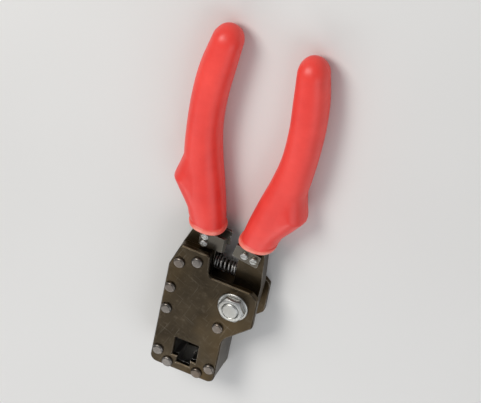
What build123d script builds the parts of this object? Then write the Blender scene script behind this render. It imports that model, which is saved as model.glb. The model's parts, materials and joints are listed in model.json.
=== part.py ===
from build123d import *
import math
import os

os.makedirs("parts", exist_ok=True)

# Millimetres. The tool lies flat: +Y runs from the head to the ends of the handles, +Z is up through
# the thickness, and the origin is on the table under the middle of the tool's outline.

# ---------------------------------------------------------------- driving dimensions
LENGTH = 196.0  # head tip to grip ends
TIP_Y = -LENGTH / 2
HEAD_T = 18.0  # over the outsides of both frame plates
PLATE_T = 2.5
MID_Z = HEAD_T / 2
LEVER_T = 6.0  # both handle steels
LEVER_Z = MID_Z - LEVER_T / 2
LEVER_TOP = MID_Z + LEVER_T / 2
PLATE_UP_Z = HEAD_T - PLATE_T  # underside of the upper plate
GAP_T = PLATE_UP_Z - PLATE_T  # clear space between the plates

PIVOT_X = 10.0
PIVOT_Y = -48.0
PIVOT_R = 4.0
BOSS_R = 9.0
PIVOT_SPACER_R = 7.5
SWING = 9.5  # degrees that the handles close
DRIVE_R = 18.5  # main pivot to drive pin
DRIVE_PIN_R = 3.5
ARM_END_R = 6.3  # round the drive pin
ARM_ROOT = (7.5, 8.0)  # half widths of the arm at the pivot
RUN_FIT = 0.05

RAM_X = PIVOT_X - DRIVE_R  # centreline of ram, comb and nest
RAM_W = 20.0
RAM_BACK_Y = -40.0
FORK_Y = -58.0  # depth of the fork in the ram's back
FORK_FIT = 0.4
PIN_SLOT_FIT = 0.2  # sideways room for the drive pin in the ram's slot
PIN_END_GAP = 0.15
RAM_BACK_CORNER = 3.0
RAM_TRAVEL = 2 * DRIVE_R * math.sin(math.radians(SWING / 2))
DIE_TOP_Y = -83.0
STOP_GAP = 0.05  # left between ram and die when the handles are closed
RAM_FACE_Y = DIE_TOP_Y + RAM_TRAVEL + STOP_GAP

HEAD_LEFT_X = -25.0
HEAD_RIGHT_X = 8.0
PIVOT_SIDE_X = 21.0  # the plates stand out to here round the pivot
PIVOT_SIDE_Y = PIVOT_Y + 8.0
TAIL_Y = -25.0  # end of the plates under the fixed handle
TAIL_X = (-21.0, -6.0)
TAIL_CORNER_Y = -38.0
THROAT_X = (-5.0, 17.0)  # edge of the plates across the throat between the handles
THROAT_Y = -37.0
SHOULDER_Y = -70.0  # the plates widen from here towards the pivot
TIP_CORNER = 3.5
SHOULDER_BLEND = 8.0
PIVOT_CORNER = 2.4
TAIL_CORNER = 2.0
PLATE_EDGE = 0.5  # chamfers on the upper plate
EDGE_BREAK = 0.3  # chamfers on small or hidden edges

# eight-way plug: the nest that holds it, and its latch tab's slot
PLUG_W = 11.9
PLUG_H = 7.0
TAB_W = 6.6
TAB_H = 3.6
NEST_Y = DIE_TOP_Y - PLUG_H
CONTACTS = 8
CONTACT_PITCH = 1.02
TOOTH_W = 0.5
TOOTH_H = 1.0
COMB_W = 10.4
COMB_H = 8.0
COMB_T = 6.2
PUNCH_W = 9.0
PUNCH_T = 2.2
PUNCH_H = 1.6  # how far the strain relief punch stands past the ram's face
PUNCH_ROOT = 8.0
PUNCH_TOP_GAP = 0.5  # ram left above the punch
COMB_PIN_R = 1.0
COMB_PIN_IN = 5.0  # behind the ram's face
STOP_T = 1.0  # leaf that stops the plug
LEAF_Y = -86.0
LEAF_W = 19.6
LEAF_H = 10.4
LEAF_SCREW_R = 1.1
LEAF_CORNER = 1.5
PEEPHOLE = (9.0, 2.0)
PEEPHOLE_IN = 2.6  # its middle, from the plug's face

# the fixed handle's root between the plates, beside the ram
TAIL_INNER_Y = -56.0
TAIL_IN_X = -19.0
ROOT_TOP_Y = RAM_BACK_Y + 0.4  # clears the ram's back
SPACER_INSET = 0.5  # the tail spacers end this far inside the plates
SPACER_CORNER_X = TAIL_X[0] - SPACER_INSET * (TAIL_X[0] - HEAD_LEFT_X) / (TAIL_Y - TAIL_CORNER_Y)

# the handle steels' outlines between pivot or root and grip
SEAT_TOP_Y = -27.0  # the spring's seats end here and the inner sides lean to the necks
SEAT_ROOT_Y = -44.0
MOVING_BACK = (19.5, -36.0)
FIXED_BACK = (-21.5, TAIL_Y - 1.0)

# handles and grips, right-hand side: x, y, width across, thickness
MOUTH_Y = -14.0
GRIP_STATIONS = [
    (12.5, -14.0, 15.8, 16.6),
    (14.7, -5.0, 17.2, 17.6),
    (18.2, 8.0, 18.4, 18.0),
    (21.5, 23.0, 17.6, 18.0),
    (23.7, 40.0, 16.2, 18.0),
    (24.2, 58.0, 16.2, 18.0),
    (23.2, 74.0, 16.3, 17.4),
    (21.2, 89.8, 14.6, 16.0),
]
GRIP_POWER = 2.35  # 2 is an ellipse, higher is squarer
DOME_L = 8.25
DOME_ANGLES = (0, 20, 38, 54, 68, 80)
LIP_L = 2.6
LIP_W = 18.0
LIP_T = 18.0
GUARD_T = 10.0
# the thumb guard's outline, from the mouth side over its nose to the hand's side
GUARD_FOOT = (23.0, -3.5)
GUARD_RISE = (27.7, 4.2)
GUARD_NOSE = ((32.9, 11.2), (33.4, 12.0), (32.9, 12.8))
GUARD_DROP = (30.5, 18.2)
GUARD_HEEL = (29.0, 24.0)
# middle line of the handle steel inside the grip
TANG_POINTS = [(GRIP_STATIONS[0][0], -16.0)] + [(x, y) for x, y, _, _ in GRIP_STATIONS[1:-1]]
TANG_W = 11.0
TANG_END_W = 7.0
# where a steel's head meets its tang: inner and outer x, and y
NECK_IN_X = TANG_POINTS[0][0] - TANG_W / 2
NECK_OUT_X = TANG_POINTS[0][0] + TANG_W / 2
NECK_Y = TANG_POINTS[0][1]
POCKET_FIT = 0.1

# cutting and stripping station between the handles
CUT_X = -1.0  # closed cutting line
CUT_Y0 = -24.0
CUT_Y1 = -17.0
CUT_CLEAR = 0.1
BLADE_T = 1.5
BLADE_L = 13.0
BLADE_Y1 = -16.0
ANVIL_T = 2.0
ANVIL_L = 13.0
HARD_CORNER = 1.0  # rounded corners of blades and anvils away from the cut
BEVEL = 1.2
BLADE_LAND = 0.3  # left square at the cutting edge
NOTCH_R = 1.2
NOTCH_Y = -19.6
SCREW_R = 1.25
SCREW_HEAD_R = 1.8
SCREW_HEAD_H = 1.2
SCREW_SLOT = 0.5
BLADE_SCREWS = [(-11.5, -22.1), (-11.5, -17.9)]
ANVIL_SCREWS_CLOSED = [(4.5, -20.5), (9.3, -20.5)]

# return spring
SPRING_Y = -33.0
SPRING_R = 3.05
SPRING_WIRE_R = 0.45
SPRING_TURNS = 5
COIL_END_GAP = 0.02
SEAT_LEFT_X = -5.5
SEAT_RIGHT_X = 6.0
PEG_R = 1.4
PEG_OUT = 2.4
PEG_IN = 4.0

# rivets and the pivot's fasteners
RIVET_R = 1.75
RIVET_HEAD_R = 2.8
RIVET_CSK_R = 2.7
RIVET_HEAD_H = 1.2
GUIDE_RIVETS = [(-21.8, -90.0), (-21.8, -64.0), (4.8, -90.0), (4.8, -64.0)]
DIE_RIVETS = [(RAM_X - 7.6, -95.0), (RAM_X + 7.6, -95.0)]
TAIL_RIVETS = [(-22.0, -51.0), (-20.0, -35.0), (-11.5, -31.0)]
CSK_R = 7.0
CSK_H = 2.2
WASHER_R = 7.5
WASHER_T = 1.0
NUT_FLATS = 12.0
NUT_T = 3.0
NUT_CONE = (NUT_FLATS / 2 + 3.4, NUT_FLATS / 2 - 0.3, NUT_T + 0.4)  # turns its corners: radii, height
THREAD_OUT = 0.5
THREAD_EDGE = 0.5
SCREW_TOP = HEAD_T + WASHER_T + NUT_T + THREAD_OUT
PIVOT_SLOT = (9.0, 1.6, 1.3)  # length, width, depth

GUIDE_LEFT_END_Y = -57.0
GUIDE_RIGHT_END_Y = -59.0
GUIDE_LEFT_IN_X = RAM_X - RAM_W / 2 - RUN_FIT
GUIDE_RIGHT_IN_X = RAM_X + RAM_W / 2 + RUN_FIT

MIN_Z = (Align.CENTER, Align.CENTER, Align.MIN)
MAX_Z = (Align.CENTER, Align.CENTER, Align.MAX)

# rest position of the drive pin, half the swing before square to the ram's line
REST = math.radians(SWING / 2)
PIN_X = PIVOT_X - DRIVE_R * math.cos(REST)
PIN_Y = PIVOT_Y + DRIVE_R * math.sin(REST)


# ---------------------------------------------------------------- helpers
def from_closed(x, y):
    """Where a point of the moving handle, given with the handles closed, lies with them open."""
    a = math.radians(-SWING)
    dx = x - PIVOT_X
    dy = y - PIVOT_Y
    return (
        PIVOT_X + dx * math.cos(a) - dy * math.sin(a),
        PIVOT_Y + dx * math.sin(a) + dy * math.cos(a),
    )


ANVIL_SCREWS = [from_closed(x, y) for x, y in ANVIL_SCREWS_CLOSED]


def oval(width, thick):
    """Points round a softened oval, for a closed spline."""
    count = 24
    points = []
    for i in range(count):
        a = 2 * math.pi * i / count
        c = math.cos(a)
        s = math.sin(a)
        points.append(
            (
                width / 2 * math.copysign(abs(c) ** (2 / GRIP_POWER), c),
                thick / 2 * math.copysign(abs(s) ** (2 / GRIP_POWER), s),
            )
        )
    return points


def across(x, y, dx, dy):
    """A plane across a handle at x, y, facing along dx, dy."""
    return Plane(origin=(x, y, MID_Z), x_dir=(dy, -dx, 0), z_dir=(dx, dy, 0))


def rivets(places):
    """Rivets with a domed head on top and a countersunk head flush with the lower plate."""
    with BuildPart() as made:
        Cylinder(RIVET_R, HEAD_T, align=MIN_Z)
        Cone(RIVET_CSK_R, RIVET_R, RIVET_CSK_R - RIVET_R, align=MIN_Z)
        with Locations((0, 0, HEAD_T)):
            Cylinder(RIVET_HEAD_R, RIVET_HEAD_H, align=MIN_Z)
        fillet(made.faces().sort_by(Axis.Z)[-1].edges(), radius=RIVET_HEAD_H * 0.8)
    with BuildPart() as placed:
        with Locations(*[(x, y, 0) for x, y in places]):
            add(made.part)
    return placed


def small_screws(places, seat_z, depth, up):
    """Slotted pan-head screws through a plate of this depth and half of the handle under it."""
    with BuildPart() as made:
        Cylinder(SCREW_R, depth + LEVER_T / 2, align=MAX_Z)
        Cylinder(SCREW_HEAD_R, SCREW_HEAD_H, align=MIN_Z)
        fillet(made.faces().sort_by(Axis.Z)[-1].edges(), radius=0.5)
        with Locations((0, 0, SCREW_HEAD_H)):
            Box(2 * SCREW_HEAD_R, SCREW_SLOT, SCREW_SLOT, align=MAX_Z, mode=Mode.SUBTRACT)
    with BuildPart() as placed:
        with Locations(*[Location((x, y, seat_z), (0 if up else 180, 0, 0)) for x, y in places]):
            add(made.part)
    return placed


# ---------------------------------------------------------------- frame plates
def corners_between(outline, y0, y1):
    return outline.vertices().filter_by_position(Axis.Y, y0, y1)


def plate_outline():
    with BuildSketch() as outline:
        with BuildLine():
            Polyline(
                (HEAD_LEFT_X, TIP_Y),
                (HEAD_RIGHT_X, TIP_Y),
                (HEAD_RIGHT_X, SHOULDER_Y),
                (PIVOT_SIDE_X, PIVOT_Y - BOSS_R),
                (PIVOT_SIDE_X, PIVOT_SIDE_Y),
                (THROAT_X[1], THROAT_Y),
                (THROAT_X[0], THROAT_Y),
                (TAIL_X[1], TAIL_Y),
                (TAIL_X[0], TAIL_Y),
                (HEAD_LEFT_X, TAIL_CORNER_Y),
                close=True,
            )
        make_face()
        fillet(outline.vertices().sort_by(Axis.Y)[:2], radius=TIP_CORNER)
        fillet(corners_between(outline, SHOULDER_Y - 1, SHOULDER_Y + 1), radius=SHOULDER_BLEND)
        fillet(corners_between(outline, PIVOT_Y - 10, THROAT_Y + 0.5), radius=PIVOT_CORNER)
        fillet(corners_between(outline, TAIL_Y - 1, TAIL_Y + 1), radius=TAIL_CORNER)
    return outline


def plug_window(z0, z1, top_y):
    """The plug's outline with its latch tab's slot, cut from z0 to z1 and reaching top_y."""
    with BuildSketch(Plane.XY.offset(z0)) as window:
        with Locations((RAM_X, (NEST_Y + top_y) / 2)):
            Rectangle(PLUG_W, top_y - NEST_Y)
        with Locations((RAM_X, NEST_Y - TAB_H / 2 + 0.1)):
            Rectangle(TAB_W, TAB_H + 0.2)
    extrude(window.sketch, amount=z1 - z0, mode=Mode.SUBTRACT)


def holes(places, radius, z0, z1):
    with BuildSketch(Plane.XY.offset(z0)) as rings:
        with Locations(*places):
            Circle(radius)
    extrude(rings.sketch, amount=z1 - z0, mode=Mode.SUBTRACT)


PIVOT = (PIVOT_X, PIVOT_Y)
ALL_RIVETS = GUIDE_RIVETS + DIE_RIVETS + TAIL_RIVETS
LEAF_SCREWS = [(RAM_X - 7.9, LEAF_Y), (RAM_X + 7.9, LEAF_Y)]

with BuildPart() as frame_plate_lower:
    add(plate_outline().sketch)
    extrude(amount=PLATE_T)
    chamfer(frame_plate_lower.faces().sort_by(Axis.Z)[0].edges(), length=EDGE_BREAK)
    plug_window(0, PLATE_T, DIE_TOP_Y)
    # shallow seat for the leaf that stops the plug
    with BuildSketch():
        with Locations((RAM_X, LEAF_Y)):
            RectangleRounded(LEAF_W, LEAF_H, LEAF_CORNER)
    extrude(amount=STOP_T, mode=Mode.SUBTRACT)
    with Locations(*[(x, y, 0) for x, y in ALL_RIVETS]):
        Cone(RIVET_CSK_R, RIVET_R, RIVET_CSK_R - RIVET_R, align=MIN_Z, mode=Mode.SUBTRACT)
    holes(ALL_RIVETS, RIVET_R, 0, PLATE_T)
    holes(LEAF_SCREWS, LEAF_SCREW_R, 0, PLATE_T)
    with Locations((PIVOT_X, PIVOT_Y, 0)):
        Cone(CSK_R, PIVOT_R, CSK_H, align=MIN_Z, mode=Mode.SUBTRACT)
    holes([PIVOT], PIVOT_R, 0, PLATE_T)

with BuildPart() as frame_plate_upper:
    with BuildSketch(Plane.XY.offset(PLATE_UP_Z)):
        add(plate_outline().sketch)
    extrude(amount=PLATE_T)
    chamfer(frame_plate_upper.faces().sort_by(Axis.Z)[-1].edges(), length=PLATE_EDGE)
    # the plug goes in here, and the comb's teeth show beyond it
    plug_window(PLATE_UP_Z, HEAD_T, RAM_FACE_Y + 0.6)
    chamfer(
        frame_plate_upper.faces().sort_by(Axis.Z)[-1].inner_wires().edges(),
        length=PLATE_EDGE,
    )
    holes(ALL_RIVETS, RIVET_R, PLATE_UP_Z, HEAD_T)
    holes([PIVOT], PIVOT_R, PLATE_UP_Z, HEAD_T)

with BuildPart() as plug_stop:
    with BuildSketch():
        with Locations((RAM_X, LEAF_Y)):
            RectangleRounded(LEAF_W, LEAF_H, LEAF_CORNER)
        # peephole on the ends of the wires
        with Locations((RAM_X, DIE_TOP_Y - PEEPHOLE_IN)):
            SlotOverall(PEEPHOLE[0], PEEPHOLE[1], mode=Mode.SUBTRACT)
    extrude(amount=STOP_T)
    holes(LEAF_SCREWS, LEAF_SCREW_R, 0, STOP_T)

with BuildPart() as plug_stop_pins:
    with BuildSketch():
        with Locations(*LEAF_SCREWS):
            Circle(LEAF_SCREW_R)
    extrude(amount=PLATE_T)

# ---------------------------------------------------------------- between the plates
with BuildPart() as guide_rail_left:
    with BuildSketch(Plane.XY.offset(PLATE_T)):
        with BuildLine():
            Polyline(
                (HEAD_LEFT_X, TIP_Y + TIP_CORNER),
                (HEAD_LEFT_X + TIP_CORNER, TIP_Y),
                (GUIDE_LEFT_IN_X, TIP_Y),
                (GUIDE_LEFT_IN_X, GUIDE_LEFT_END_Y),
                (HEAD_LEFT_X, GUIDE_LEFT_END_Y),
                close=True,
            )
        make_face()
    extrude(amount=GAP_T)
    holes(GUIDE_RIVETS[:2], RIVET_R, PLATE_T, PLATE_UP_Z)

with BuildPart() as guide_rail_right:
    with BuildSketch(Plane.XY.offset(PLATE_T)):
        with BuildLine():
            Polyline(
                (GUIDE_RIGHT_IN_X, TIP_Y),
                (HEAD_RIGHT_X - TIP_CORNER, TIP_Y),
                (HEAD_RIGHT_X, TIP_Y + TIP_CORNER),
                (HEAD_RIGHT_X, GUIDE_RIGHT_END_Y),
                (GUIDE_RIGHT_IN_X, GUIDE_RIGHT_END_Y),
                close=True,
            )
        make_face()
    extrude(amount=GAP_T)
    holes(GUIDE_RIVETS[2:], RIVET_R, PLATE_T, PLATE_UP_Z)

with BuildPart() as nest_die:
    with BuildSketch(Plane.XY.offset(PLATE_T)):
        with Locations((RAM_X, (TIP_Y + DIE_TOP_Y) / 2)):
            Rectangle(GUIDE_RIGHT_IN_X - GUIDE_LEFT_IN_X, DIE_TOP_Y - TIP_Y)
    extrude(amount=GAP_T)
    plug_window(PLATE_T, PLATE_UP_Z, DIE_TOP_Y)
    holes(DIE_RIVETS, RIVET_R, PLATE_T, PLATE_UP_Z)

guide_rivets = rivets(GUIDE_RIVETS)
die_rivets = rivets(DIE_RIVETS)
tail_rivets = rivets(TAIL_RIVETS)

# ---------------------------------------------------------------- ram, comb and punch
RAM_Z = PLATE_T + RUN_FIT
RAM_T = GAP_T - 2 * RUN_FIT
FORK_GAP = LEVER_T + FORK_FIT
COMB_Z = RAM_Z
PUNCH_Z = RAM_Z + RAM_T - PUNCH_TOP_GAP - PUNCH_T
COMB_PIN = (RAM_X, RAM_FACE_Y + COMB_PIN_IN)

with BuildPart() as ram:
    with BuildSketch(Plane.XY.offset(RAM_Z)):
        with Locations((RAM_X, (RAM_FACE_Y + RAM_BACK_Y) / 2)):
            Rectangle(RAM_W, RAM_BACK_Y - RAM_FACE_Y)
    extrude(amount=RAM_T)
    chamfer(ram.edges().filter_by(Axis.Z).sort_by(Axis.Y)[2:], length=RAM_BACK_CORNER)
    # fork for the moving handle's arm
    with BuildSketch(Plane.XY.offset(MID_Z - FORK_GAP / 2)):
        with Locations((RAM_X, (RAM_BACK_Y + FORK_Y) / 2)):
            Rectangle(RAM_W, RAM_BACK_Y - FORK_Y)
    extrude(amount=FORK_GAP, mode=Mode.SUBTRACT)
    # cross slot for the drive pin
    with BuildSketch(Plane.XY.offset(RAM_Z)):
        with Locations(((PIN_X + RAM_X) / 2, PIN_Y)):
            SlotOverall(2 * (DRIVE_PIN_R + PIN_SLOT_FIT), 2 * (DRIVE_PIN_R + RUN_FIT))
    extrude(amount=RAM_T, mode=Mode.SUBTRACT)
    # seats for comb and punch
    with BuildSketch(Plane.XY.offset(COMB_Z)):
        with Locations((RAM_X, RAM_FACE_Y + COMB_H / 2)):
            Rectangle(COMB_W, COMB_H)
    extrude(amount=COMB_T, mode=Mode.SUBTRACT)
    with BuildSketch(Plane.XY.offset(PUNCH_Z)):
        with Locations((RAM_X, RAM_FACE_Y + PUNCH_ROOT / 2)):
            Rectangle(PUNCH_W, PUNCH_ROOT)
    extrude(amount=PUNCH_T, mode=Mode.SUBTRACT)
    # cross pin that holds both
    holes([COMB_PIN], COMB_PIN_R, RAM_Z, RAM_Z + RAM_T)

with BuildPart() as contact_comb:
    with BuildSketch(Plane.XY.offset(COMB_Z)):
        with Locations((RAM_X, RAM_FACE_Y + COMB_H / 2)):
            Rectangle(COMB_W, COMB_H)
        with Locations((RAM_X, RAM_FACE_Y - TOOTH_H / 2)):
            with GridLocations(CONTACT_PITCH, 1, CONTACTS, 1):
                Rectangle(TOOTH_W, TOOTH_H)
    extrude(amount=COMB_T)
    holes([COMB_PIN], COMB_PIN_R, COMB_Z, COMB_Z + COMB_T)

with BuildPart() as strain_relief_punch:
    with BuildSketch(Plane.XY.offset(PUNCH_Z)):
        with Locations((RAM_X, RAM_FACE_Y + (PUNCH_ROOT - PUNCH_H) / 2)):
            Rectangle(PUNCH_W, PUNCH_ROOT + PUNCH_H)
    extrude(amount=PUNCH_T)
    nose = strain_relief_punch.faces().sort_by(Axis.Y)[0]
    chamfer(nose.edges().filter_by(Axis.X), length=0.6)
    holes([COMB_PIN], COMB_PIN_R, PUNCH_Z, PUNCH_Z + PUNCH_T)

with BuildPart() as comb_pin:
    with Locations((*COMB_PIN, RAM_Z)):
        Cylinder(COMB_PIN_R, RAM_T, align=MIN_Z)

with BuildPart() as drive_pin:
    with Locations((PIN_X, PIN_Y, PLATE_T + PIN_END_GAP)):
        Cylinder(DRIVE_PIN_R, GAP_T - 2 * PIN_END_GAP, align=MIN_Z)
    chamfer(drive_pin.edges(), length=EDGE_BREAK)

# ---------------------------------------------------------------- handles
def tang(extra):
    """Outline of the right-hand handle steel from grip mouth to its rounded end, grown by extra."""
    with BuildSketch() as made:
        with BuildLine():
            inner = []
            outer = []
            for i, (x, y) in enumerate(TANG_POINTS):
                half = (TANG_W + (TANG_END_W - TANG_W) * i / (len(TANG_POINTS) - 1)) / 2 + extra
                inner.append((x - half, y))
                outer.append((x + half, y))
            Spline(*inner)
            Spline(*outer)
            Line(inner[0], outer[0])
            end_x, end_y = TANG_POINTS[-1]
            ThreePointArc(inner[-1], (end_x, end_y + TANG_END_W / 2 + extra), outer[-1])
        make_face()
    return made.sketch


with BuildPart() as moving_handle:
    with BuildSketch(Plane.XY.offset(LEVER_Z)):
        add(tang(0))
        with BuildLine():
            Polyline(
                (SEAT_RIGHT_X, SEAT_ROOT_Y),
                (SEAT_RIGHT_X, SEAT_TOP_Y),
                (NECK_IN_X, NECK_Y),
                (NECK_OUT_X, NECK_Y),
                MOVING_BACK,
                (PIVOT_X + BOSS_R, PIVOT_Y),
                close=True,
            )
        make_face()
        with Locations(PIVOT):
            Circle(BOSS_R)
        with BuildLine():
            Polyline(
                (PIVOT_X, PIVOT_Y + ARM_ROOT[0]),
                (PIN_X, PIN_Y + ARM_END_R),
                (PIN_X, PIN_Y - ARM_END_R),
                (PIVOT_X, PIVOT_Y - ARM_ROOT[1]),
                close=True,
            )
        make_face()
        with Locations((PIN_X, PIN_Y)):
            Circle(ARM_END_R)
    extrude(amount=LEVER_T)
    holes([PIVOT], PIVOT_R + RUN_FIT, LEVER_Z, LEVER_TOP)
    holes([(PIN_X, PIN_Y)], DRIVE_PIN_R, LEVER_Z, LEVER_TOP)
    holes(ANVIL_SCREWS, SCREW_R, LEVER_Z, LEVER_TOP)
    with Locations(Location((SEAT_RIGHT_X, SPRING_Y, MID_Z), (0, 90, 0))):
        Cylinder(PEG_R, PEG_IN, align=MIN_Z, mode=Mode.SUBTRACT)

with BuildPart() as fixed_handle:
    with BuildSketch(Plane.XY.offset(LEVER_Z)):
        mirror(tang(0), about=Plane.YZ)
        with BuildLine():
            Polyline(
                (HEAD_LEFT_X, TAIL_INNER_Y),
                (TAIL_IN_X, TAIL_INNER_Y),
                (TAIL_IN_X, ROOT_TOP_Y),
                (SEAT_LEFT_X, ROOT_TOP_Y),
                (SEAT_LEFT_X, SEAT_TOP_Y),
                (-NECK_IN_X, NECK_Y),
                (-NECK_OUT_X, NECK_Y),
                FIXED_BACK,
                (HEAD_LEFT_X, TAIL_CORNER_Y),
                close=True,
            )
        make_face()
    extrude(amount=LEVER_T)
    holes(TAIL_RIVETS, RIVET_R, LEVER_Z, LEVER_TOP)
    holes(BLADE_SCREWS, SCREW_R, LEVER_Z, LEVER_TOP)
    with Locations(Location((SEAT_LEFT_X, SPRING_Y, MID_Z), (0, -90, 0))):
        Cylinder(PEG_R, PEG_IN, align=MIN_Z, mode=Mode.SUBTRACT)


def tail_spacer(z0, z1):
    with BuildPart() as made:
        with BuildSketch(Plane.XY.offset(z0)) as outline:
            with BuildLine():
                Polyline(
                    (HEAD_LEFT_X, TAIL_INNER_Y),
                    (TAIL_IN_X, TAIL_INNER_Y),
                    (TAIL_IN_X, RAM_BACK_Y + RUN_FIT),
                    (TAIL_X[1] - SPACER_INSET, RAM_BACK_Y + RUN_FIT),
                    (TAIL_X[1] - SPACER_INSET, TAIL_Y - SPACER_INSET),
                    (SPACER_CORNER_X, TAIL_Y - SPACER_INSET),
                    (HEAD_LEFT_X, TAIL_CORNER_Y),
                    close=True,
                )
            make_face()
            fillet(corners_between(outline, TAIL_Y - 1, TAIL_Y), radius=TAIL_CORNER)
        extrude(amount=z1 - z0)
        holes(TAIL_RIVETS, RIVET_R, z0, z1)
    return made


tail_spacer_lower = tail_spacer(PLATE_T, LEVER_Z)
tail_spacer_upper = tail_spacer(LEVER_TOP, PLATE_UP_Z)

# ---------------------------------------------------------------- main pivot
with BuildPart() as pivot_screw:
    with BuildSketch(Plane.XZ):
        with BuildLine():
            Polyline(
                (0, 0),
                (CSK_R, 0),
                (PIVOT_R, CSK_H),
                (PIVOT_R, SCREW_TOP - THREAD_EDGE),
                (PIVOT_R - THREAD_EDGE, SCREW_TOP),
                (0, SCREW_TOP),
                close=True,
            )
        make_face()
    revolve(axis=Axis.Z)
    with BuildSketch():
        Rectangle(PIVOT_SLOT[0], PIVOT_SLOT[1])
    extrude(amount=PIVOT_SLOT[2], mode=Mode.SUBTRACT)

pivot_screw.part.position = (PIVOT_X, PIVOT_Y, 0)

with BuildPart() as pivot_washer:
    with BuildSketch(Plane.XY.offset(HEAD_T)):
        with Locations(PIVOT):
            Circle(WASHER_R)
            Circle(PIVOT_R, mode=Mode.SUBTRACT)
    extrude(amount=WASHER_T)
    chamfer(pivot_washer.faces().sort_by(Axis.Z)[-1].outer_wire().edges(), length=EDGE_BREAK)

with BuildPart() as pivot_nut:
    with BuildSketch(Plane.XY.offset(HEAD_T + WASHER_T)):
        with Locations(PIVOT):
            RegularPolygon(NUT_FLATS / 2, 6, major_radius=False)
            Circle(PIVOT_R, mode=Mode.SUBTRACT)
    extrude(amount=NUT_T)
    # the usual turned corners on top
    with Locations((PIVOT_X, PIVOT_Y, HEAD_T + WASHER_T)):
        Cone(*NUT_CONE, align=MIN_Z, mode=Mode.INTERSECT)


def pivot_spacer(z0, z1):
    with BuildPart() as made:
        with BuildSketch(Plane.XY.offset(z0)):
            with Locations(PIVOT):
                Circle(PIVOT_SPACER_R)
                Circle(PIVOT_R, mode=Mode.SUBTRACT)
        extrude(amount=z1 - z0)
    return made


pivot_spacer_lower = pivot_spacer(PLATE_T, LEVER_Z - RUN_FIT)
pivot_spacer_upper = pivot_spacer(LEVER_TOP + RUN_FIT, PLATE_UP_Z)

# ---------------------------------------------------------------- cutting and stripping
BLADE_X0 = CUT_X - CUT_CLEAR - BLADE_L


def blade(z0, bevel_top):
    with BuildPart() as made:
        with BuildSketch(Plane.XY.offset(z0)):
            with Locations((BLADE_X0, CUT_Y0)):
                Rectangle(BLADE_L, BLADE_Y1 - CUT_Y0, align=(Align.MIN, Align.MIN))
        extrude(amount=BLADE_T)
        fillet(made.edges().filter_by(Axis.Z).sort_by(Axis.X)[:2], radius=HARD_CORNER)
        edge = made.faces().sort_by(Axis.X)[-1].edges().filter_by(Axis.Y).sort_by(Axis.Z)
        chamfer(edge[-1 if bevel_top else 0], length=BLADE_T - BLADE_LAND, length2=BEVEL)
        holes(BLADE_SCREWS, SCREW_R, z0, z0 + BLADE_T)
    return made


def anvil(z0):
    corners = [
        from_closed(CUT_X, CUT_Y0),
        from_closed(CUT_X, CUT_Y1),
        from_closed(CUT_X + ANVIL_L, CUT_Y1),
        from_closed(CUT_X + ANVIL_L, CUT_Y0),
    ]
    with BuildPart() as made:
        with BuildSketch(Plane.XY.offset(z0)):
            with BuildLine():
                Polyline(*corners, close=True)
            make_face()
        extrude(amount=ANVIL_T)
        away = made.edges().filter_by(Axis.Z).sort_by(Axis.X)[2:]
        fillet(away, radius=HARD_CORNER)
        holes(ANVIL_SCREWS, SCREW_R, z0, z0 + ANVIL_T)
    return made


cutter_blade = blade(LEVER_TOP, True)
cutter_anvil = anvil(LEVER_TOP)
stripper_anvil = anvil(LEVER_Z - ANVIL_T)

with BuildPart() as stripper_blade:
    add(blade(LEVER_Z - BLADE_T, False).part)
    # half-round bite that scores the jacket and leaves the wires
    holes([(CUT_X - CUT_CLEAR, NOTCH_Y)], NOTCH_R, LEVER_Z - BLADE_T, LEVER_Z)

cutter_blade_screws = small_screws(BLADE_SCREWS, LEVER_TOP + BLADE_T, BLADE_T, True)
cutter_anvil_screws = small_screws(ANVIL_SCREWS, LEVER_TOP + ANVIL_T, ANVIL_T, True)
stripper_blade_screws = small_screws(BLADE_SCREWS, LEVER_Z - BLADE_T, BLADE_T, False)
stripper_anvil_screws = small_screws(ANVIL_SCREWS, LEVER_Z - ANVIL_T, ANVIL_T, False)

# ---------------------------------------------------------------- return spring and its pegs
COIL_X0 = SEAT_LEFT_X + SPRING_WIRE_R + COIL_END_GAP
COIL_L = SEAT_RIGHT_X - SPRING_WIRE_R - COIL_END_GAP - COIL_X0

with BuildPart() as return_spring:
    with BuildLine() as coil:
        Helix(
            COIL_L / SPRING_TURNS,
            COIL_L,
            SPRING_R,
            center=(COIL_X0, SPRING_Y, MID_Z),
            direction=(1, 0, 0),
        )
    with BuildSketch(Plane(origin=coil.line @ 0, z_dir=coil.line % 0)):
        Circle(SPRING_WIRE_R)
    sweep(is_frenet=True)


def peg(x, turn):
    with BuildPart() as made:
        with Locations(Location((x, SPRING_Y, MID_Z), (0, turn, 0))):
            Cylinder(PEG_R, PEG_OUT, align=MIN_Z)
            Cylinder(PEG_R, PEG_IN, align=MAX_Z)
        tip = made.faces().filter_by(GeomType.PLANE).sort_by(Axis.X)[-1 if turn > 0 else 0]
        chamfer(tip.edges(), length=EDGE_BREAK)
    return made


spring_peg_fixed = peg(SEAT_LEFT_X, 90)
spring_peg_moving = peg(SEAT_RIGHT_X, -90)

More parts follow.
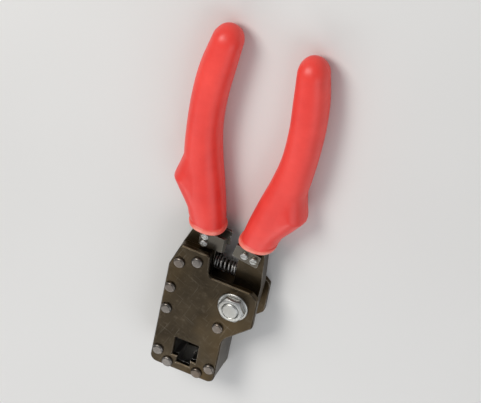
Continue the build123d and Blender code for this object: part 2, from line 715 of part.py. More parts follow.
# ---------------------------------------------------------------- grips
with BuildPart() as moving_grip:
    for i, (x, y, wide, thick) in enumerate(GRIP_STATIONS):
        before = GRIP_STATIONS[max(i - 1, 0)]
        after = GRIP_STATIONS[min(i + 1, len(GRIP_STATIONS) - 1)]
        run = math.hypot(after[0] - before[0], after[1] - before[1])
        dx = (after[0] - before[0]) / run
        dy = (after[1] - before[1]) / run
        if i == 0:
            dx, dy = 0.0, 1.0
        with BuildSketch(across(x, y, dx, dy)):
            with BuildLine():
                Spline(*oval(wide, thick), periodic=True)
            make_face()
    loft()
    # rounded end
    for angle in DOME_ANGLES:
        out = DOME_L * math.sin(math.radians(angle))
        shrink = math.cos(math.radians(angle))
        with BuildSketch(across(x + dx * out, y + dy * out, dx, dy)):
            with BuildLine():
                Spline(*oval(wide * shrink, thick * shrink), periodic=True)
            make_face()
    loft()
    # rolled lip round the mouth
    with BuildSketch(across(GRIP_STATIONS[0][0], MOUTH_Y, 0.0, 1.0)):
        with BuildLine():
            Spline(*oval(LIP_W, LIP_T), periodic=True)
        make_face()
    extrude(amount=LIP_L)
    # pointed thumb guard on the outer side
    with BuildSketch(Plane.XY.offset(MID_Z - GUARD_T / 2)):
        with BuildLine():
            ThreePointArc(GUARD_FOOT, GUARD_RISE, GUARD_NOSE[0])
            ThreePointArc(*GUARD_NOSE)
            ThreePointArc(GUARD_NOSE[2], GUARD_DROP, GUARD_HEEL)
            Line(GUARD_HEEL, GUARD_FOOT)
        make_face()
    extrude(amount=GUARD_T)
    # pocket for the handle steel
    with BuildSketch(Plane.XY.offset(LEVER_Z - POCKET_FIT)):
        add(tang(POCKET_FIT))
    extrude(amount=LEVER_T + 2 * POCKET_FIT, mode=Mode.SUBTRACT)

with BuildPart() as fixed_grip:
    mirror(moving_grip.part, about=Plane.YZ)

# ---------------------------------------------------------------- files
PIECES = {
    "frame_plate_lower": frame_plate_lower,
    "frame_plate_upper": frame_plate_upper,
    "plug_stop": plug_stop,
    "plug_stop_pins": plug_stop_pins,
    "guide_rail_left": guide_rail_left,
    "guide_rail_right": guide_rail_right,
    "nest_die": nest_die,
    "guide_rivets": guide_rivets,
    "die_rivets": die_rivets,
    "tail_rivets": tail_rivets,
    "ram": ram,
    "contact_comb": contact_comb,
    "strain_relief_punch": strain_relief_punch,
    "comb_pin": comb_pin,
    "drive_pin": drive_pin,
    "moving_handle": moving_handle,
    "fixed_handle": fixed_handle,
    "tail_spacer_lower": tail_spacer_lower,
    "tail_spacer_upper": tail_spacer_upper,
    "pivot_screw": pivot_screw,
    "pivot_washer": pivot_washer,
    "pivot_nut": pivot_nut,
    "pivot_spacer_lower": pivot_spacer_lower,
    "pivot_spacer_upper": pivot_spacer_upper,
    "cutter_blade": cutter_blade,
    "cutter_anvil": cutter_anvil,
    "stripper_blade": stripper_blade,
    "stripper_anvil": stripper_anvil,
    "cutter_blade_screws": cutter_blade_screws,
    "cutter_anvil_screws": cutter_anvil_screws,
    "stripper_blade_screws": stripper_blade_screws,
    "stripper_anvil_screws": stripper_anvil_screws,
    "return_spring": return_spring,
    "spring_peg_fixed": spring_peg_fixed,
    "spring_peg_moving": spring_peg_moving,
    "moving_grip": moving_grip,
    "fixed_grip": fixed_grip,
}
for name, piece in PIECES.items():
    piece.part.label = name
    export_step(piece.part, f"parts/{name}.step")
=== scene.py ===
import json
import math

import bpy
import bmesh
from mathutils import Matrix, Vector


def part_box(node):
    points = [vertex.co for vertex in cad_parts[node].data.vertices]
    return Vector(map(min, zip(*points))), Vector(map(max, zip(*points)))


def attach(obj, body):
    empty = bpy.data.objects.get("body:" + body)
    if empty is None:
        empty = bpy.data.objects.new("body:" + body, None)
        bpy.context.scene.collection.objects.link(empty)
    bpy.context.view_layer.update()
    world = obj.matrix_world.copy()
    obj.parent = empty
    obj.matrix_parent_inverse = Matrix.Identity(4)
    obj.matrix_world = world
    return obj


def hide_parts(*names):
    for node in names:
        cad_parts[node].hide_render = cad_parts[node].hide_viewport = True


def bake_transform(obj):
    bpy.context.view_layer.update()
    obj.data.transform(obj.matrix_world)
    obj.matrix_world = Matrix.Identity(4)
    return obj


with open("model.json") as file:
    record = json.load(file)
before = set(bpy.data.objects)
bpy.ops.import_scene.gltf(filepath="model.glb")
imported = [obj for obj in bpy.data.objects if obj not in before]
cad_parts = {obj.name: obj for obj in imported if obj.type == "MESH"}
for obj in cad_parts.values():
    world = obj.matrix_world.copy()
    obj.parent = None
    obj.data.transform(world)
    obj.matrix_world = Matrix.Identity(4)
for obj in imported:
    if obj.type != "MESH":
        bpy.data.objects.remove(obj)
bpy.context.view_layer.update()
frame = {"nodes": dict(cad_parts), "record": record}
nodes = frame["nodes"]
MM = 0.001
BEVEL_SAMPLES = 6


# ------------------------------------------------------------------ node helpers
class Tree:
    """A material's node tree, with short calls to add and join nodes."""

    def __init__(self, name):
        self.mat = bpy.data.materials.new(name)
        self.mat.use_nodes = True
        self.tree = self.mat.node_tree
        self.tree.nodes.clear()
        self.out = self.tree.nodes.new("ShaderNodeOutputMaterial")
        self.shader = self.tree.nodes.new("ShaderNodeBsdfPrincipled")
        self.join(self.shader, 0, self.out, 0)
        self.coord = self.tree.nodes.new("ShaderNodeTexCoord")

    def join(self, a, a_socket, b, b_socket):
        """A link from a's output to b's input."""
        self.tree.links.new(a.outputs[a_socket], b.inputs[b_socket])

    def node(self, kind, **settings):
        """A new node of that kind, with its settings."""
        made = self.tree.nodes.new(kind)
        for key, value in settings.items():
            setattr(made, key, value)
        return made

    def scaled(self, scale, turn=0.0):
        """Object coordinates turned about Z and stretched by scale on each axis."""
        turned = self.node("ShaderNodeMapping")
        turned.inputs["Rotation"].default_value = (0, 0, turn)
        self.join(self.coord, "Object", turned, "Vector")
        mapping = self.node("ShaderNodeMapping")
        mapping.inputs["Scale"].default_value = scale
        self.join(turned, "Vector", mapping, "Vector")
        return mapping

    def noise(self, scale, detail, rough, stretch=(1, 1, 1), distortion=0.0, turn=0.0):
        """Noise over the object, turned about Z and then stretched."""
        made = self.node("ShaderNodeTexNoise")
        made.inputs["Scale"].default_value = scale
        made.inputs["Detail"].default_value = detail
        made.inputs["Roughness"].default_value = rough
        made.inputs["Distortion"].default_value = distortion
        self.join(self.scaled(stretch, turn), "Vector", made, "Vector")
        return made

    def ramp(self, source, stops, socket="Fac"):
        """A colour ramp; stops are (place, colour), a colour being a grey value or (r, g, b)."""
        made = self.node("ShaderNodeValToRGB")
        self.join(source, socket, made, "Fac")
        elements = made.color_ramp.elements
        while len(elements) < len(stops):
            elements.new(0.5)
        for element, (place, colour) in zip(elements, stops):
            if not hasattr(colour, "__len__"):
                colour = (colour, colour, colour)
            element.position = place
            element.color = (*colour, 1)
        return made

    def mix(self, factor, a, b, factor_socket="Color", mode="MIX"):
        """Colour mix; each of a and b is a node or a colour."""
        made = self.node("ShaderNodeMix", data_type="RGBA", blend_type=mode)
        if isinstance(factor, (int, float)):
            made.inputs[0].default_value = factor
        else:
            self.join(factor, factor_socket, made, 0)
        for value, socket in ((a, 6), (b, 7)):
            if isinstance(value, (tuple, list)):
                made.inputs[socket].default_value = (*value, 1)
            else:
                name = "Color" if "Color" in value.outputs else 2
                self.join(value, name, made, socket)
        return made

    def math(self, kind, a, b, a_socket=0, b_socket=0):
        """Arithmetic; each of a and b is a node or a number."""
        made = self.node("ShaderNodeMath", operation=kind)
        for value, out, slot in ((a, a_socket, 0), (b, b_socket, 1)):
            if isinstance(value, (int, float)):
                made.inputs[slot].default_value = value
            else:
                self.join(value, out, made, slot)
        return made

    def remap(self, source, socket, source_range, result_range, kind="LINEAR"):
        """A value taken from one range to another."""
        made = self.node("ShaderNodeMapRange", interpolation_type=kind)
        ends = dict(zip(("From Min", "From Max", "To Min", "To Max"), (*source_range, *result_range)))
        for name, value in ends.items():
            made.inputs[name].default_value = value
        self.join(source, socket, made, "Value")
        return made

    def rounded(self, radius):
        """Normals rounded over sharp edges."""
        made = self.node("ShaderNodeBevel", samples=BEVEL_SAMPLES)
        made.inputs["Radius"].default_value = radius
        return made

    def bump(self, height, strength, distance, socket="Fac", after=None):
        """Bumps by height, over the normals of the node after."""
        made = self.node("ShaderNodeBump")
        made.inputs["Strength"].default_value = strength
        made.inputs["Distance"].default_value = distance
        self.join(height, socket, made, "Height")
        if after is not None:
            self.join(after, "Normal", made, "Normal")
        return made

    def edge_mask(self, radius, low, high):
        """White along convex edges: where a rounded normal leaves the surface's own."""
        bevel = self.rounded(radius)
        geometry = self.node("ShaderNodeNewGeometry")
        dot = self.node("ShaderNodeVectorMath", operation="DOT_PRODUCT")
        self.join(bevel, "Normal", dot, 0)
        self.join(geometry, "Normal", dot, 1)
        return self.ramp(dot, [(low, 1.0), (high, 0.0)], socket="Value")


# ------------------------------------------------------------------ steel
SCRATCHES = [(0.35, 0.15), (-1.1, 0.11)]  # direction and strength of each set
EDGE_BEND = (0.80, 0.985)  # from fully worn to not worn, as the edge mask measures it
ROUNDED_EDGE = 0.00025
SMUDGE_SHARE = 0.6  # of the roughness; the grain makes up the rest
GRAIN_SHARE = 0.4


def steel_tone(t, dark, light, tint, grit):
    """Clouds between dark and light, patches of the tint and pale specks."""
    clouds = t.ramp(t.noise(45.0, 5.0, 0.6), [(0.30, 0.0), (0.72, 1.0)])
    tone = t.mix(clouds, dark, light)
    if tint is not None:
        patches = t.ramp(t.noise(18.0, 3.0, 0.5, distortion=0.6), [(0.48, 0.0), (0.70, 0.75)])
        tone = t.mix(patches, tone, tint)
    specks = t.ramp(t.noise(420.0, 3.0, 0.6), [(0.55, 0.0), (0.80, 0.35 * grit)])
    pale = tuple(min(1.0, c * 1.6 + 0.02) for c in light)
    return t.mix(specks, tone, pale)


def rubbed_through(t, tone, worn, edge):
    """Fine scratches, stronger in patches, and edges rubbed bright here and there."""
    scuffed = t.ramp(t.noise(55.0, 3.0, 0.6), [(0.42, 0.15), (0.62, 1.0)])
    for turn, strength in SCRATCHES:
        lines = t.noise(2300.0, 2.0, 0.4, stretch=(1, 0.03, 1), distortion=0.15, turn=turn)
        scratches = t.ramp(lines, [(0.66, 0.0), (0.70, strength)])
        mask = t.mix(1.0, scratches, scuffed, mode="MULTIPLY")
        tone = t.mix(mask, tone, worn, factor_socket=2)
    broken = t.ramp(t.noise(160.0, 4.0, 0.7), [(0.36, 0.0), (0.62, 1.0)])
    mask = t.mix(1.0, t.edge_mask(edge, *EDGE_BEND), broken, mode="MULTIPLY")
    return t.mix(mask, tone, worn, factor_socket=2)


def steel_surface(t, rough, grain, grain_scale, grit):
    """Roughness from smudges and grain; fine bumps and shallow dents over rounded edges."""
    lines = t.noise(grain_scale, 3.0, 0.6, stretch=grain)
    smudges = t.ramp(t.noise(60.0, 4.0, 0.6), [(0.25, 0.0), (0.75, 1.0)])
    by_smudges = t.math("MULTIPLY", smudges, SMUDGE_SHARE)
    uneven = t.math("ADD", by_smudges, t.math("MULTIPLY", lines, GRAIN_SHARE))
    t.join(t.remap(uneven, 0, (0.0, 1.0), rough), 0, t.shader, "Roughness")
    grained = t.bump(lines, 0.22 * grit, 0.00006, after=t.rounded(ROUNDED_EDGE))
    dented = t.bump(t.noise(120.0, 3.0, 0.5), 0.12 * grit, 0.00012, after=grained)
    t.join(dented, "Normal", t.shader, "Normal")


def steel(
    name, dark, light, rough, worn=None, grain=(1, 1, 1), grain_scale=900.0, edge=0.0004, tint=None, grit=1.0
):
    """Steel between two tones; worn colours scratches and edges, grit scales specks and bumps."""
    t = Tree(name)
    t.shader.inputs["Metallic"].default_value = 1.0
    tone = steel_tone(t, dark, light, tint, grit)
    if worn is not None:
        tone = rubbed_through(t, tone, worn, edge)
    t.join(tone, 2, t.shader, "Base Color")
    steel_surface(t, rough, grain, grain_scale, grit)
    return t.mat


# ------------------------------------------------------------------ steel finishes
burnished = steel(
    "burnished_steel", (0.028, 0.021, 0.013), (0.070, 0.053, 0.033), (0.26, 0.46),
    worn=(0.42, 0.37, 0.30), grain=(1, 0.12, 1), grain_scale=700.0, edge=0.0005,
    tint=(0.096, 0.064, 0.029),
)
ground = steel(
    "ground_steel", (0.34, 0.33, 0.315), (0.48, 0.47, 0.45), (0.22, 0.36),
    worn=(0.74, 0.73, 0.71), grain=(0.06, 1, 1), grain_scale=1500.0, edge=0.0003, grit=0.4,
)
blade_steel = steel(
    "blade_steel", (0.095, 0.083, 0.066), (0.175, 0.158, 0.132), (0.22, 0.38),
    worn=(0.66, 0.64, 0.60), grain=(0.06, 1, 1), grain_scale=1500.0, edge=0.0004,
    tint=(0.13, 0.10, 0.065), grit=0.4,
)
spring = steel("spring_steel", (0.20, 0.19, 0.18), (0.36, 0.35, 0.33), (0.25, 0.42), grain_scale=1200.0)
plated = steel(
    "plated_steel", (0.36, 0.36, 0.35), (0.52, 0.52, 0.50), (0.28, 0.46),
    worn=(0.70, 0.70, 0.68), grain_scale=1100.0, edge=0.0003, tint=(0.42, 0.40, 0.33),
)
rivet = steel(
    "rivet_steel", (0.10, 0.09, 0.08), (0.22, 0.20, 0.18), (0.24, 0.42),
    worn=(0.55, 0.52, 0.48), grain_scale=900.0, edge=0.0005, tint=(0.13, 0.09, 0.06),
)


# ------------------------------------------------------------------ grip plastic
LIP_HIGHLIGHT_FADE = (-0.0106, -0.0128)  # metres along y, where the painted highlight on the lip begins and is full
GRIP_ROUGH = (0.32, 0.50)


def grip_colour(t):
    """Mottled coral red with rubbed and grimy patches, and a painted highlight near the lip, broken up by
    noise.
    """
    mottle = t.ramp(t.noise(38.0, 5.0, 0.6), [(0.30, 0.0), (0.72, 1.0)])
    base = t.mix(mottle, (0.77, 0.036, 0.027), (0.94, 0.066, 0.048))
    rub = t.noise(14.0, 3.0, 0.55, stretch=(1, 0.4, 1), distortion=0.4)
    base = t.mix(t.ramp(rub, [(0.54, 0.0), (0.80, 0.40)]), base, (0.93, 0.13, 0.095))
    grime = t.ramp(t.noise(75.0, 6.0, 0.7), [(0.64, 0.0), (0.82, 0.28)])
    base = t.mix(grime, base, (0.36, 0.025, 0.018))
    place = t.node("ShaderNodeSeparateXYZ")
    t.join(t.coord, "Object", place, 0)
    # painted highlight: the lip is made paler towards its end, in noisy patches, to stand for light caught
    # on the rolled lip
    near_lip = t.remap(place, "Y", LIP_HIGHLIGHT_FADE, (0.0, 1.0), kind="SMOOTHSTEP")
    lip_highlight_patches = t.ramp(t.noise(190.0, 4.0, 0.65), [(0.34, 0.25), (0.62, 0.85)])
    lip_highlight = t.math("MULTIPLY", near_lip, lip_highlight_patches, b_socket="Color")
    # pale pink of the painted highlight on the lip
    return t.mix(lip_highlight, base, (0.94, 0.36, 0.27), factor_socket=0)


def grip_surface(t):
    """Satin roughness, and bumps for pores, moulding waves and light scratches."""
    smudges = t.noise(40.0, 4.0, 0.6)
    t.join(t.remap(smudges, "Fac", (0.25, 0.75), GRIP_ROUGH), 0, t.shader, "Roughness")
    pores = t.bump(t.noise(1500.0, 3.0, 0.5), 0.25, 0.00005)
    waves = t.bump(t.noise(90.0, 2.0, 0.4), 0.10, 0.0002, after=pores)
    scratches = t.ramp(t.noise(260.0, 2.0, 0.5, stretch=(1, 0.08, 1)), [(0.60, 0.0), (0.66, 1.0)])
    fine = t.bump(scratches, 0.05, 0.00005, socket="Color", after=waves)
    t.join(fine, "Normal", t.shader, "Normal")


def grip_plastic():
    """Moulded sleeve plastic with a little light passing under its skin."""
    t = Tree("grip_red")
    t.shader.inputs["Specular IOR Level"].default_value = 0.5
    t.shader.inputs["Subsurface Weight"].default_value = 0.08
    t.shader.inputs["Subsurface Scale"].default_value = 0.0012
    t.shader.inputs["Subsurface Radius"].default_value = (1.0, 0.22, 0.14)
    t.join(grip_colour(t), 2, t.shader, "Base Color")
    grip_surface(t)
    return t.mat


red = grip_plastic()


# ------------------------------------------------------------------ materials onto the CAD nodes
BY_SLOT = {
    "burnished_steel": burnished,
    "ground_steel": ground,
    "spring_steel": spring,
    "plated_steel": plated,
    "rivet_steel": rivet,
    "grip_red": red,
}
slots = {p["node"]: p["material_slot"] for p in frame["record"]["subparts"]}
for name, obj in nodes.items():
    obj.data.materials.clear()
    oiled = name.endswith(("_blade", "_anvil"))
    obj.data.materials.append(blade_steel if oiled else BY_SLOT[slots[name]])


# ------------------------------------------------------------------ mesh helpers
def bridge(bm, rings):
    """Quads between neighbouring rings of vertices."""
    for low, high in zip(rings, rings[1:]):
        for k in range(len(low)):
            n = (k + 1) % len(low)
            bm.faces.new((low[k], low[n], high[n], high[k]))


def to_mesh(name, bm):
    """A mesh with outward normals; quads and triangles are smooth, end caps stay flat."""
    bmesh.ops.recalc_face_normals(bm, faces=bm.faces)
    for face in bm.faces:
        face.smooth = len(face.verts) < 5
    mesh = bpy.data.meshes.new(name)
    bm.to_mesh(mesh)
    bm.free()
    return mesh


def add_object(name, mesh, material):
    """An object of the scene, all in one material."""
    obj = bpy.data.objects.new(name, mesh)
    bpy.context.scene.collection.objects.link(obj)
    mesh.materials.append(material)
    return obj


# ------------------------------------------------------------------ grips
# Millimetres, in the frame's axes. Stations of the right-hand grip: x, y, width across, thickness.
MID_Z = 9.0
STATIONS = [
    (12.5, -14.0, 15.8, 16.6),
    (14.7, -5.0, 17.2, 17.6),
    (18.2, 8.0, 18.4, 17.96),
    (21.5, 23.0, 17.6, 17.96),
    (23.7, 40.0, 16.2, 17.96),
    (24.2, 58.0, 16.2, 17.96),
    (23.2, 74.0, 16.3, 17.4),
    (21.2, 89.8, 14.6, 16.0),
]
X_OF = [(y, x) for x, y, w, t in STATIONS]
W_OF = [(y, w) for x, y, w, t in STATIONS]
T_OF = [(y, t) for x, y, w, t in STATIONS]
MOUTH_Y = STATIONS[0][1]
LAST_Y = STATIONS[-1][1]
POWER = 2.35  # of the section: 2 is an ellipse, higher is squarer
LEAN_SPAN = 0.5  # half the length over which the middle line's lean is measured
BODY_STEP = 0.9  # between rings
BODY_START = 0.25  # first ring, up from the lip's end
LEAN_START = 5.0  # length over which the rings tilt until they lie square to the middle line
STEEL_Y = -16.0  # where the handle steel inside starts to taper, just outside the mouth
STEEL_X = [(STEEL_Y, STATIONS[0][0])] + X_OF[1:-1]  # its middle line
STEEL_W = (11.0, 7.0)  # its width there and at its rounded end
STEEL_W_OF = [
    (y, STEEL_W[0] + (STEEL_W[1] - STEEL_W[0]) * i / (len(STEEL_X) - 1)) for i, (y, x) in enumerate(STEEL_X)
]
STEEL_T = 6.0
POCKET_GAP = 0.2  # between steel and grip
POCKET_STEP = 3.0  # between rings
POCKET_POWER = 7.0
POCKET_ROUND = (85, 65, 45, 22)  # degrees of the rings round its far end
POCKET_EDGE = [  # up from the mouth, wider by, thicker by, power
    (1.2, 0.0, 0.0, POCKET_POWER),
    (0.75, 0.5, 0.5, 6.5),
    (0.55, 1.3, 1.6, 5.0),
]
FACE_DISH = 0.45  # depth of the end face round the pocket
FACE_W = 0.86  # width of the dished part, as a share of the mouth's
FACE_T = 0.66  # and its thickness
FACE_POWER = 3.2
FACE_RIM = [(0.32, 1.9), (0.10, 0.9)]  # up from the mouth, narrower by
LIP_W = 17.9  # of the rolled lip: width, thickness and length
LIP_T = 17.8
LIP_L = 2.6
LIP_STEPS = 8
LIP_ROLL = 0.6  # lower is fuller
GUARD_S = 26.0  # apex of the thumb guard, up from the mouth
GUARD_H = 4.9  # how far it stands out
GUARD_RISE = 14.5  # length of its slope on the mouth side
GUARD_DROP = 11.5  # and on the hand side
GUARD_NOSE = 0.8  # roundness of the apex
GUARD_HOLLOW = 1.2  # higher makes the slopes hollow
GUARD_WRAP = math.radians(78)  # how far it reaches round each face
GUARD_FADE = 1.1  # how fast it fades there
GUARD_STEP = 0.35  # between rings near the apex
GUARD_NEAR = 2.5  # and how near that is
DOME = 8.2  # length of the rounded end
DOME_RINGS = 16
SEAM_H = 0.13  # moulding seam along the inner and outer sides
SEAM_HALF = math.radians(1.7)  # half its width, as an angle
STEPS_ROUND = 80


def seam_angles():
    """Angles round a section: even steps, with closer ones at the two seams."""
    even = [2 * math.pi * k / STEPS_ROUND for k in range(STEPS_ROUND)]
    close = [side * part * SEAM_HALF for side in (-1, 1) for part in (0.5, 1.0)]
    return sorted(a % (2 * math.pi) for a in even + close + [math.pi + c for c in close])


ANGLES = seam_angles()


def hermite(values, x):
    """Smooth value at x through (place, value) pairs."""
    last = len(values) - 1
    i = 0
    while i < last - 1 and x > values[i + 1][0]:
        i += 1
    (x0, y0), (x1, y1) = values[i], values[i + 1]

    def slope(k):
        a = values[max(k - 1, 0)]
        b = values[min(k + 1, last)]
        return (b[1] - a[1]) / (b[0] - a[0])

    h = x1 - x0
    u = min(max((x - x0) / h, 0.0), 1.0)
    ends = (2 * u**3 - 3 * u**2 + 1) * y0 + (3 * u**2 - 2 * u**3) * y1
    return ends + (u**3 - 2 * u**2 + u) * slope(i) * h + (u**3 - u**2) * slope(i + 1) * h


def end_slope(values):
    """Slope of hermite(values, ...) at its last place."""
    (x0, y0), (x1, y1) = values[-2:]
    return (y1 - y0) / (x1 - x0)


def oval_point(angle, wide, thick, power=POWER):
    """A point of a section, across and through its thickness."""
    c = math.cos(angle)
    s = math.sin(angle)
    return (
        wide / 2 * math.copysign(abs(c) ** (2 / power), c),
        thick / 2 * math.copysign(abs(s) ** (2 / power), s),
    )


def smooth(x):
    """0 to 1 with level ends."""
    x = min(max(x, 0.0), 1.0)
    return x * x * (3 - 2 * x)


def slope_at(y):
    """Sideways lean of the grip's middle line at y."""
    low = max(y - LEAN_SPAN, MOUTH_Y)
    high = min(y + LEAN_SPAN, LAST_Y)
    return (hermite(X_OF, high) - hermite(X_OF, low)) / (high - low)


def guard(s, angle):
    """How far the pointed thumb guard stands out at s up from the mouth."""
    length = GUARD_RISE if s <= GUARD_S else GUARD_DROP
    off = math.hypot(s - GUARD_S, GUARD_NOSE) - GUARD_NOSE
    rise = max(0.0, 1 - off / length) ** GUARD_HOLLOW
    away = abs(math.atan2(math.sin(angle), math.cos(angle)))
    wrap = math.cos(min(away / GUARD_WRAP, 1.0) * math.pi / 2) ** GUARD_FADE
    return GUARD_H * rise * wrap


def seam(angle):
    """How far the moulding seam stands out."""
    away = abs(math.atan2(math.sin(2 * angle), math.cos(2 * angle))) / 2
    return SEAM_H * max(0.0, 1 - away / SEAM_HALF)


def section(y, wide, thick, power=POWER, tilt=1.0, x=None, stand=None):
    """One ring of points across the grip; stand gives what is added outward at an angle."""
    dx = slope_at(max(y, MOUTH_Y + LEAN_SPAN)) * tilt
    run = math.hypot(dx, 1.0)
    middle = hermite(X_OF, y) if x is None else x
    ring = []
    for angle in ANGLES:
        u, v = oval_point(angle, wide, thick, power)
        if stand is not None:
            grown = 1 + stand(angle) / math.hypot(u, v)
            u *= grown
            v = max(-thick / 2, min(thick / 2, v * grown))
        ring.append((middle + u / run, y - u * dx / run, MID_Z + v))
    return ring


def pocket_ring(y, size=1.0, grow_w=0.0, grow_t=0.0, power=POCKET_POWER):
    """A ring of the pocket that the handle steel fills."""
    wide = hermite(STEEL_W_OF, y) * size + 2 * POCKET_GAP + grow_w
    thick = STEEL_T + 2 * POCKET_GAP + grow_t
    return section(y, wide, thick, power, tilt=0.0, x=hermite(STEEL_X, y))


def pocket_sections():
    """The pocket, from its rounded far end to just inside the mouth."""
    end_y = STEEL_X[-1][0]
    end_radius = STEEL_W[1] / 2 + POCKET_GAP
    rings = []
    for degrees in POCKET_ROUND:
        a = math.radians(degrees)
        rings.append(pocket_ring(end_y + end_radius * math.sin(a), size=math.cos(a)))
    y = end_y
    while y > MOUTH_Y + POCKET_EDGE[0][0]:
        rings.append(pocket_ring(y))
        y -= POCKET_STEP
    for up, grow_w, grow_t, power in POCKET_EDGE:
        rings.append(pocket_ring(MOUTH_Y + up, 1.0, grow_w, grow_t, power))
    return rings


def mouth_sections():
    """Over the end face and round the rolled lip."""
    wide = W_OF[0][1]
    thick = T_OF[0][1]
    rings = [section(MOUTH_Y + FACE_DISH, wide * FACE_W, thick * FACE_T, FACE_POWER, tilt=0.0)]
    for up, less in FACE_RIM:
        rings.append(section(MOUTH_Y + up, wide - less, thick - less, tilt=0.0))
    for step in range(LIP_STEPS + 1):
        a = math.radians(-90 + 180 * step / LIP_STEPS)
        y = MOUTH_Y + LIP_L / 2 * (1 + math.sin(a))
        roll = max(math.cos(a), 0.0) ** LIP_ROLL
        w = hermite(W_OF, y)
        t = hermite(T_OF, y)
        rings.append(section(y, w + (LIP_W - w) * roll, t + (LIP_T - t) * roll, tilt=0.0))
    return rings


def body_sections():
    """From behind the lip to the start of the rounded end."""
    rings = []
    y = MOUTH_Y + LIP_L + BODY_START
    while y < LAST_Y:
        s = y - MOUTH_Y
        rings.append(
            section(
                y,
                hermite(W_OF, y),
                hermite(T_OF, y),
                tilt=smooth((s - LIP_L) / LEAN_START),
                stand=lambda angle: guard(s, angle) + seam(angle),
            )
        )
        y += GUARD_STEP if abs(s - GUARD_S) < GUARD_NEAR else BODY_STEP
    return rings


def dome_sections():
    """The rounded end, as rings that shrink to a point; returns the rings and the point."""
    dx = slope_at(LAST_Y)
    run = math.hypot(dx, 1.0)
    x = X_OF[-1][1]
    rings = []
    for step in range(DOME_RINGS):
        a = math.radians(90 * step / DOME_RINGS)
        out = DOME * math.sin(a)
        size = math.cos(a)
        # the body's taper runs on, so that no crease shows where the end begins
        wide = (W_OF[-1][1] + end_slope(W_OF) * out) * size
        thick = (T_OF[-1][1] + end_slope(T_OF) * out) * size
        power = 2.0 + (POWER - 2.0) * size
        ring = []
        for angle in ANGLES:
            u, v = oval_point(angle, wide, thick, power)
            grown = 1 + seam(angle) * size / math.hypot(u, v)
            along = LAST_Y + out / run - u * grown * dx / run
            ring.append((x + (dx * out + u * grown) / run, along, MID_Z + v * grown))
        rings.append(ring)
    return rings, (x + dx * DOME / run, LAST_Y + DOME / run, MID_Z)


def skin(name, rings, tip, side):
    """A closed mesh over the rings, ending at the tip; side -1 mirrors it left to right."""
    bm = bmesh.new()
    rows = []
    for ring in rings:
        rows.append([bm.verts.new((side * x * MM, y * MM, z * MM)) for x, y, z in ring])
    point = bm.verts.new((side * tip[0] * MM, tip[1] * MM, tip[2] * MM))
    bridge(bm, rows)
    last = rows[-1]
    for k in range(len(last)):
        bm.faces.new((last[k], last[(k + 1) % len(last)], point))
    bm.faces.new(tuple(reversed(rows[0])))
    return to_mesh(name, bm)


def build_grip(name, side, body, node):
    """One grip as a swept skin; side is +1 for the moving grip and -1 for its mirror image."""
    dome, tip = dome_sections()
    mesh = skin(name, pocket_sections() + mouth_sections() + body_sections() + dome, tip, side)
    obj = add_object(name, mesh, red)
    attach(obj, body)
    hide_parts(node)


build_grip("grip_sleeve_moving", 1, "moving_handle", "moving_grip")
build_grip("grip_sleeve_fixed", -1, "frame", "fixed_grip")


# ------------------------------------------------------------------ return spring
# Millimetres, like the grips.
SPRING_LEFT = -5.5  # x of its two seats
SPRING_RIGHT = 6.0
SPRING_Y = -33.0
SPRING_WIRE = 0.45  # radius of the wire
SPRING_RADIUS = 3.05  # to the wire's middle
SPRING_TURNS = 6.5
SPRING_EASE = 0.045  # how far the pitch closes up towards both ends
SPRING_STEPS = 260
SPRING_SIDES = 12


def coil_point(u):
    """The wire's middle line; u runs from 0 at the left seat to 1 at the right."""
    length = SPRING_RIGHT - SPRING_LEFT - 2 * SPRING_WIRE
    along = u - SPRING_EASE * math.sin(2 * math.pi * u)
    a = 2 * math.pi * SPRING_TURNS * u
    return Vector((
        SPRING_LEFT + SPRING_WIRE + length * along,
        SPRING_Y + SPRING_RADIUS * math.cos(a),
        MID_Z + SPRING_RADIUS * math.sin(a),
    ))


def build_spring():
    """The coil, as a round wire swept along its middle line."""
    points = [coil_point(i / SPRING_STEPS) for i in range(SPRING_STEPS + 1)]
    bm = bmesh.new()
    rows = []
    for i, p in enumerate(points):
        ahead = points[min(i + 1, SPRING_STEPS)]
        behind = points[max(i - 1, 0)]
        along = (ahead - behind).normalized()
        radial = (p - Vector((p.x, SPRING_Y, MID_Z))).normalized()
        other = along.cross(radial).normalized()
        row = []
        for k in range(SPRING_SIDES):
            a = 2 * math.pi * k / SPRING_SIDES
            q = p + SPRING_WIRE * (math.cos(a) * radial + math.sin(a) * other)
            row.append(bm.verts.new(q * MM))
        rows.append(row)
    bridge(bm, rows)
    bm.faces.new(rows[0])
    bm.faces.new(tuple(reversed(rows[-1])))
    obj = add_object("return_coil", to_mesh("return_coil", bm), spring)
    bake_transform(obj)
    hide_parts("return_spring")


build_spring()


# ------------------------------------------------------------------ pivot nut
# Metres, as the frame gives the nut's box.
NUT_BORE = 0.0040  # radius
NUT_FLARE = 0.0004  # widening of the bore at its foot
NUT_SINK = 0.00045  # countersink at its top
NUT_AROUND = 144
NUT_CROWN = math.radians(30)  # slope of the turned corners
NUT_INSET = 0.0003  # of the round top, from the flats
NUT_BLUNT = 0.00022  # how much the corners are blunted
NUT_BLUNT_SPAN = 2.6  # over how many degrees
NUT_SHARP = math.radians(24)  # edges steeper than this stay sharp
NUT_FOOT = [(0.0005, 0.0), (0.0001, 0.0001), (0.0, 0.0004)]  # rounded foot: in from the side, up
NUT_SHOULDER = [(0.0, 0.00025), (0.0001, 0.00002)]  # top edge of the side: in from it, down
NUT_TOP = [(0.0001, 0.00003), (0.0005, 0.0)]  # edge of the round top: in from it, down


def nut_profile(side, crown, turned, low, high):
    """The outline as radius and height, from the bore's foot over the side to the bore's top."""
    foot = [(side - off, low + up) for off, up in NUT_FOOT]
    shoulder = [(side - off, turned - down) for off, down in NUT_SHOULDER]
    top = [(crown - off, high - down) for off, down in NUT_TOP]
    bore = [(NUT_BORE + NUT_SINK, high), (NUT_BORE, high - NUT_SINK)]
    return [(NUT_BORE + NUT_FLARE, low), *foot, *shoulder, *top, *bore]


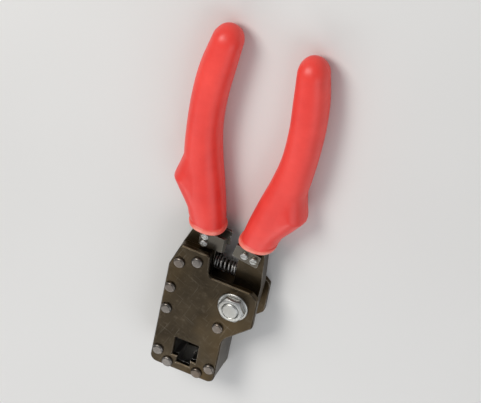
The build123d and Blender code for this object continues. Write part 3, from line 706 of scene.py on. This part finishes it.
def nut_columns():
    """The outline at each step round the nut, as points in the frame."""
    low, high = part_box("pivot_nut")
    x = (low[0] + high[0]) / 2
    y = (low[1] + high[1]) / 2
    flat = (high[1] - low[1]) / 2
    crown = flat - NUT_INSET
    columns = []
    for k in range(NUT_AROUND):
        a = 2 * math.pi * k / NUT_AROUND
        off = (a % (math.pi / 3)) - math.pi / 6
        corner = math.degrees(math.pi / 6 - abs(off))
        side = flat / math.cos(off) - NUT_BLUNT * math.exp(-((corner / NUT_BLUNT_SPAN) ** 2))
        turned = high[2] - max(side - crown, 0) * math.tan(NUT_CROWN)
        profile = nut_profile(side, crown, turned, low[2], high[2])
        columns.append([(x + r * math.cos(a), y + r * math.sin(a), z) for r, z in profile])
    return columns


def build_nut():
    """Hexagon nut with turned corners, softened edges and a countersunk bore."""
    bm = bmesh.new()
    rings = [[bm.verts.new(p) for p in ring] for ring in zip(*nut_columns())]
    bridge(bm, rings + rings[:1])
    mesh = to_mesh("nut_hexagon", bm)
    mesh.set_sharp_from_angle(angle=NUT_SHARP)
    obj = add_object("nut_hexagon", mesh, plated)
    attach(obj, "frame")
    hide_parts("pivot_nut")


build_nut()


# ------------------------------------------------------------------ floor, light, camera
FLOOR_SIZE = 4.0
FLOOR_Z = -0.00005
SKY_COLOUR = (0.92, 0.95, 1.0)
SKY_STRENGTH = 0.34


def floor_material():
    """Pale and matt, with a faint wash of tone and a fine grain."""
    t = Tree("floor_pale")
    wash = t.ramp(t.noise(3.0, 3.0, 0.5), [(0.3, 0.0), (0.7, 1.0)])
    tone = t.mix(wash, (0.70, 0.69, 0.67), (0.76, 0.75, 0.73))
    t.join(tone, 2, t.shader, "Base Color")
    t.shader.inputs["Roughness"].default_value = 0.75
    t.join(t.bump(t.noise(220.0, 3.0, 0.5), 0.05, 0.0002), "Normal", t.shader, "Normal")
    return t.mat


bpy.ops.mesh.primitive_grid_add(
    x_subdivisions=8, y_subdivisions=8, size=FLOOR_SIZE, location=(0, 0, FLOOR_Z)
)
floor = bpy.context.object
floor.name = "floor"
floor.data.materials.append(floor_material())

bpy.context.scene.view_settings.view_transform = "Standard"
world = bpy.data.worlds.new("world")
bpy.context.scene.world = world
world.use_nodes = True
sky = world.node_tree.nodes["Background"]
sky.inputs["Color"].default_value = (*SKY_COLOUR, 1)
sky.inputs["Strength"].default_value = SKY_STRENGTH


def area(name, place, aim, size, power, colour=(1, 1, 1)):
    """A rectangular lamp at place that shines towards aim; the camera doesn't see it."""
    data = bpy.data.lights.new(name, "AREA")
    data.shape = "RECTANGLE"
    data.size = size[0]
    data.size_y = size[1]
    data.energy = power
    data.color = colour
    lamp = bpy.data.objects.new(name, data)
    bpy.context.scene.collection.objects.link(lamp)
    lamp.location = place
    lamp.rotation_euler = (Vector(aim) - Vector(place)).to_track_quat("-Z", "Y").to_euler()
    lamp.visible_camera = False


area("key", (-0.45, 0.55, 0.75), (0, 0, 0), (0.45, 0.45), 6.3, (1.0, 0.98, 0.95))
area("fill", (0.7, -0.2, 0.6), (0, 0, 0), (0.7, 0.7), 2.0, (0.93, 0.96, 1.0))
area("strip", (-0.1, -0.65, 0.45), (0, -0.05, 0), (0.9, 0.25), 1.8)

# The view: how the tool's long axis and its cross axis lie in the picture.
AXIS_OUT = math.radians(38.0)  # grip ends lean this far towards the camera
AXIS_LEAN = math.radians(12.1)  # and to the right of upright
CROSS_DIP = math.radians(21.5)  # the right-hand grip lies lower
DISTANCE = 1.80
LENS = 290.0
SENSOR = 36
TARGET = Vector((0.0, -0.006, 0.009))
SHIFT_RIGHT = 0.0022  # of the view, to centre the tool in the picture
SHIFT_UP = 0.0086

cross_out = math.atan(math.sin(CROSS_DIP - AXIS_LEAN) / math.tan(AXIS_OUT))
across = Vector((math.cos(CROSS_DIP), -math.sin(CROSS_DIP), 0)) * math.cos(cross_out)
across.z = math.sin(cross_out)
along = Vector((math.sin(AXIS_LEAN), math.cos(AXIS_LEAN), 0)) * math.cos(AXIS_OUT)
along.z = math.sin(AXIS_OUT)
view = Matrix((across, along, across.cross(along)))  # columns: right, up and back, in the frame's axes
right, up, back = view.col
place = TARGET + right * SHIFT_RIGHT + up * SHIFT_UP + back * DISTANCE
camera_data = bpy.data.cameras.new("camera")
camera_data.lens = LENS
camera_data.sensor_width = SENSOR
camera = bpy.data.objects.new("camera", camera_data)
bpy.context.scene.collection.objects.link(camera)
camera.matrix_world = Matrix.Translation(place) @ view.to_4x4()
bpy.context.scene.camera = camera
